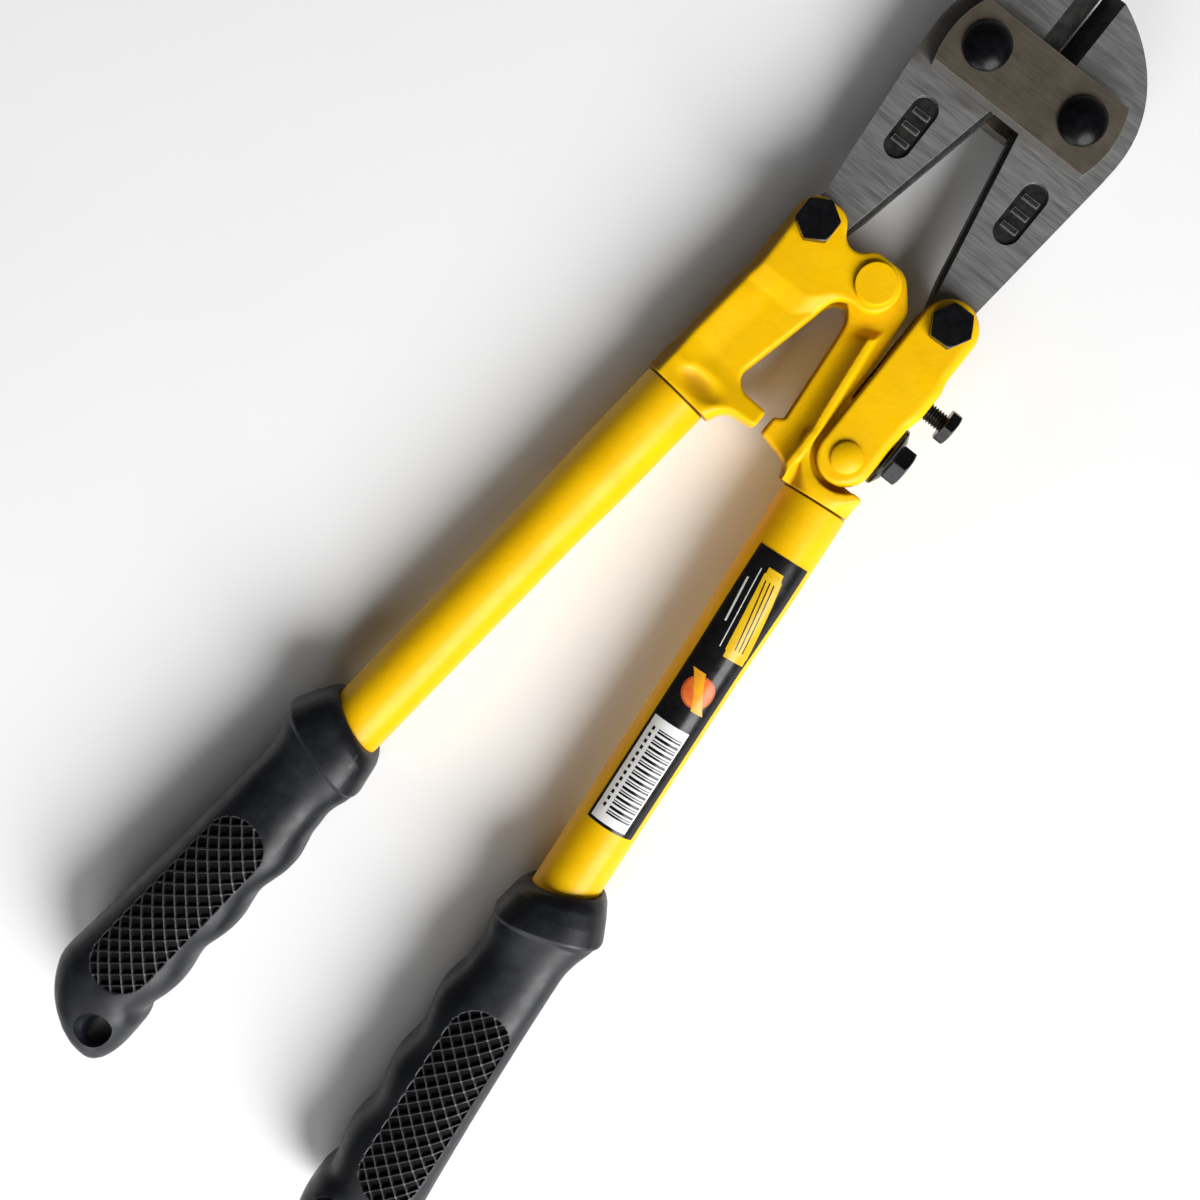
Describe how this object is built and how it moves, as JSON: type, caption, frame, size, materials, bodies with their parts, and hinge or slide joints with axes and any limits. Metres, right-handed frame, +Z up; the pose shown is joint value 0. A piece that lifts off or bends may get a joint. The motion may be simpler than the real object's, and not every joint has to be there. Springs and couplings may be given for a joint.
{
  "type": "bolt cutters",
  "caption": "Compact bolt cutters with pivoting forged jaws, compound-lever heads, tubular handles and rubber grips with hanging holes.",
  "frame": {"origin": "on the surface the tool lies on, under the middle of its box", "axes": "+X to the right across the tool, +Y from the grips to the jaws, +Z up, normal to the jaw straps"},
  "size_m": [0.1166, 0.3672, 0.026],
  "materials": {
    "blade_steel": "ground steel with fine grinding marks",
    "strap_steel": "brushed steel plate with a brownish cast",
    "black_hardware": "black oxide",
    "yellow_paint": "glossy yellow enamel",
    "grip_rubber": "satin moulded rubber",
    "label_film": "printed film"
  },
  "bodies": {
    "jaw_straps": {"front_strap": "strap_steel", "rear_strap": "strap_steel", "left_jaw_bolt": "black_hardware", "right_jaw_bolt": "black_hardware", "left_jaw_nut": "black_hardware", "right_jaw_nut": "black_hardware"},
    "left_blade": {"left_blade": "blade_steel"},
    "right_blade": {"right_blade": "blade_steel"},
    "left_handle": {"left_head": "yellow_paint", "left_tube": "yellow_paint", "left_grip": "grip_rubber", "left_pivot_bolt": "black_hardware", "left_pivot_nut": "black_hardware", "centre_rivet": "yellow_paint"},
    "adjusting_arm": {"adjusting_arm": "yellow_paint", "right_pivot_bolt": "black_hardware", "right_pivot_nut": "black_hardware"},
    "right_handle": {"right_head": "yellow_paint", "right_tube": "yellow_paint", "right_grip": "grip_rubber", "arm_rivet": "yellow_paint", "lock_bolt": "black_hardware", "lock_washer": "black_hardware", "label": "label_film"},
    "adjusting_screw": {"adjusting_screw": "black_hardware"}
  },
  "joints": [
    {"name": "left_blade_pivot", "type": "hinge", "parent": "jaw_straps", "child": "left_blade", "pos_m": [-0.014, 0.15405, 0.013], "axis": [0, 0, 1], "range_deg": [-0.3, 8.2]},
    {"name": "right_blade_pivot", "type": "hinge", "parent": "jaw_straps", "child": "right_blade", "pos_m": [0.014, 0.15405, 0.013], "axis": [0, 0, 1], "range_deg": [-8.2, 0.3]},
    {"name": "left_handle_pivot", "type": "hinge", "parent": "left_blade", "child": "left_handle", "pos_m": [-0.02, 0.09975, 0.013], "axis": [0, 0, 1], "range_deg": [-53.1, 1.7]},
    {"name": "right_arm_pivot", "type": "hinge", "parent": "right_blade", "child": "adjusting_arm", "pos_m": [0.02, 0.09975, 0.013], "axis": [0, 0, 1], "range_deg": [-1.8, 53.2]},
    {"name": "adjuster_pivot", "type": "hinge", "parent": "adjusting_arm", "child": "right_handle", "pos_m": [0.0204, 0.06105, 0.013], "axis": [0, 0, 1], "range_deg": [-0.6, 0.6]},
    {"name": "adjusting_screw_travel", "type": "slide", "parent": "adjusting_arm", "child": "adjusting_screw", "axis": [1, 0, 0], "range_m": [-0.0003, 0.0003]}
  ],
  "couplings": [
    {"joint": "left_blade_pivot", "follows": "left_handle_pivot", "ratio": -0.15254},
    {"joint": "right_blade_pivot", "follows": "left_handle_pivot", "ratio": 0.15254},
    {"joint": "right_arm_pivot", "follows": "left_handle_pivot", "ratio": -1},
    {"joint": "adjusting_screw_travel", "follows": "adjuster_pivot", "m_per_rad": -0.0214}
  ]
}
